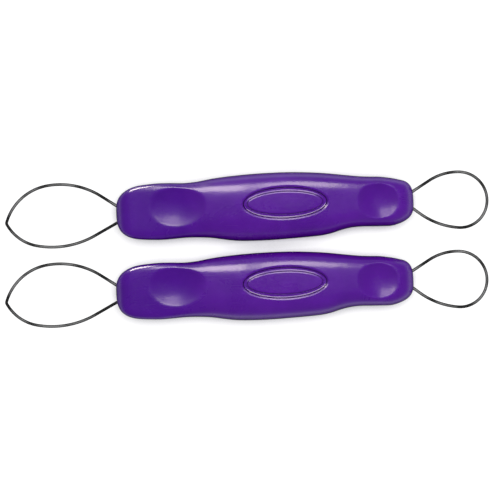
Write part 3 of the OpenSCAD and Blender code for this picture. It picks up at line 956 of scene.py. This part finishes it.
def floor_paper():
    """Paper that glows white, with a painted shadow beside the tools, and differs for each kind
    of ray.
    """
    material, shader = new_material("floor_paper")
    mottle = shader.noise(shader.object_place(), scale=220.0, detail=4.0)
    shader.connect(shader.surface, {
        "Base Color": shader.ramp(mottle, [(0.3, (0.27, 0.27, 0.272)), (0.7, 0.29)]),
        "Roughness": 0.9,
        "Specular IOR Level": 0.1})
    # painted shadow: the paper's glow is painted darker by occlusion close to the tools
    near = shader.occlusion(distance=0.006, samples=8)
    glow_with_painted_shadow = shader.emission(shader.ramp(
        near, [(0.48, (0.30, 0.30, 0.305)), (0.66, 0.62), (0.86, 0.80)]), strength=1.0)
    seen = shader.add("AddShader", {0: shader.surface.outputs[0], 1: glow_with_painted_shadow}).outputs[0]
    # painted reflection: in reflections the paper is painted dark close to the tools, which
    # darkens the grips' edges
    around = shader.occlusion(distance=0.03, samples=6)
    reflected = shader.emission(shader.ramp(around, [
        (0.6, 0.0), (0.74, 0.05), (0.86, (0.5, 0.5, 0.51)), (0.97, 1.0)]), strength=1.1)
    ray = shader.add("LightPath").outputs
    bounced = shader.emission((1, 1, 1, 1), strength=0.25)
    top = shader.mix_shaders(ray["Is Diffuse Ray"], seen, bounced)
    top = shader.mix_shaders(ray["Is Glossy Ray"], top, reflected)
    # from underneath the floor is clear, so that the undersides can be looked at
    backfacing = shader.add("NewGeometry").outputs["Backfacing"]
    clear = shader.add("BsdfTransparent").outputs[0]
    shader.connect(shader.output, {0: shader.mix_shaders(backfacing, top, clear)})
    material.cycles.emission_sampling = "NONE"
    return material


def build_floor():
    verts, faces = lathe([(radius, 0) for radius in FLOOR_RADII], 96)
    mesh = bpy.data.meshes.new("floor")
    mesh.from_pydata(verts, [], faces)
    ob = link_object("floor", mesh)
    ob.location.z = -0.0002
    mesh.materials.append(floor_paper())
    ob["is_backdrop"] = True


build_floor()


# ================================================================ lights
def area(name, location, target, size, power, colour=(1, 1, 1), diffuse=True, glossy=True):
    """A rectangular light aimed at target and hidden from the camera."""
    data = bpy.data.lights.new(name, "AREA")
    data.shape = "RECTANGLE"
    data.size, data.size_y = size
    data.energy, data.color, data.spread = power, colour, math.pi
    ob = link_object(name, data)
    ob.location = location
    ob.rotation_mode = "QUATERNION"
    aim = Vector(target) - Vector(location)
    ob.rotation_quaternion = aim.to_track_quat("-Z", "Y")
    ob.visible_camera = False
    ob.visible_diffuse = diffuse
    ob.visible_glossy = glossy
    return ob


def object_group(name, objects):
    group = bpy.data.collections.new(name)
    for ob in objects:
        group.objects.link(ob)
    return group


lo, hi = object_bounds()
centre = (lo + hi) / 2
area("soft_box", (centre.x + 0.10, centre.y + 0.22, 0.85), (centre.x, centre.y, 0.0),
     size=(0.8, 0.6), power=8.5, glossy=False)

# Small panels behind each grip that give only glints, on its plastic parts.
# tag, place from the grip's origin, x and y aimed at, size, radiance
GLINT_AIM_Z = 0.014
GLINT_COLOUR = (1.0, 0.90, 0.78)
GLINTS = [
    ("main", (-0.032, 0.060, 0.086), (-0.032, 0.002), (0.036, 0.042), 12.5),
    ("side", (0.022, 0.060, 0.086), (0.022, 0.002), (0.056, 0.036), 9.5),
    ("end", (-0.070, 0.080, 0.0465), (-0.050, 0.009), (0.036, 0.034), 42.0),
]
for tool in TOOLS:
    origin_x, origin_y = tool_origin(tool)
    lit = object_group("lit_" + tool, [
        visuals[tool, part] for part in ("top_shell", "bottom_shell", "oval_inlay")])
    for tag, (x, y, z), (aim_x, aim_y), size, radiance in GLINTS:
        lamp = area(f"lamp_{tool}_{tag}", (origin_x + x, origin_y + y, z),
                    (origin_x + aim_x, origin_y + aim_y, GLINT_AIM_Z), size,
                    power=radiance * math.pi * size[0] * size[1], colour=GLINT_COLOUR,
                    diffuse=False)
        lamp.light_linking.receiver_collection = lit

# the undersides get their own soft light, which passes the table
tools_only = object_group("tools_only", visuals.values())
under = area("under_box", (centre.x, centre.y, -0.5), (centre.x, centre.y, 0.0),
             size=(0.6, 0.6), power=6.0, glossy=False)
under.light_linking.receiver_collection = tools_only
under.light_linking.blocker_collection = tools_only


# ================================================================ world
def build_world():
    """White to the camera, even for diffuse light, and darkening upward in reflections."""
    world = bpy.data.worlds.new("studio")
    bpy.context.scene.world = world
    shader = Shader(world)
    world.cycles.sampling_method = "NONE"     # each kind of ray meets its own brightness
    output = shader.add("OutputWorld")
    ray = shader.add("LightPath").outputs

    def background(color, strength):
        return shader.add("Background", {"Color": color, "Strength": strength}).outputs[0]

    seen = background((1, 1, 1, 1), strength=1.0)
    diffuse = background((0.98, 0.985, 1.0, 1), strength=0.62)
    direction = shader.add("TexCoord").outputs["Generated"]
    height = shader.add("SeparateXYZ", {0: direction}).outputs["Z"]
    reflected = background(shader.ramp(height, [
        (0.0, 0.6), (0.14, 0.52), (0.32, 0.22), (0.5, 0.10), (0.75, (0.07, 0.07, 0.075)),
        (1.0, (0.05, 0.05, 0.055))]), strength=1.0)
    light = shader.mix_shaders(ray["Is Glossy Ray"], diffuse, reflected)
    light = shader.mix_shaders(ray["Is Camera Ray"], light, seen)
    shader.connect(output, {0: light})


build_world()

# ================================================================ camera
# It looks straight down from far off, turned so that the grips tilt up to the right.
VIEW_WIDTH = 0.2                # width of table in the frame, at the parting plane
ROLL = math.radians(2.4)
# the frame's middle from grip_a's origin, along the frame's right and up, in millimetres
VIEW_RIGHT, VIEW_UP = -6.12, -17.2

camera_data = bpy.data.cameras.new("camera")
camera_data.lens, camera_data.sensor_width = 200.0, 36.0
camera_data.clip_start, camera_data.clip_end = 0.05, 50.0
camera = link_object("camera", camera_data)
origin_x, origin_y = tool_origin("grip_a")
cos_roll, sin_roll = math.cos(ROLL), math.sin(ROLL)
camera.location = (
    origin_x + (cos_roll * VIEW_RIGHT + sin_roll * VIEW_UP) * MM,
    origin_y + (-sin_roll * VIEW_RIGHT + cos_roll * VIEW_UP) * MM,
    VIEW_WIDTH * camera_data.lens / camera_data.sensor_width + PARTING_Z * MM)
right = Vector((cos_roll, -sin_roll, 0))
up = Vector((sin_roll, cos_roll, 0))
camera.rotation_mode = "QUATERNION"
camera.rotation_quaternion = Matrix((right, up, right.cross(up))).transposed().to_quaternion()
bpy.context.scene.camera = camera

bpy.context.scene.view_settings.view_transform = "Standard"
bpy.context.scene.view_settings.look = "None"
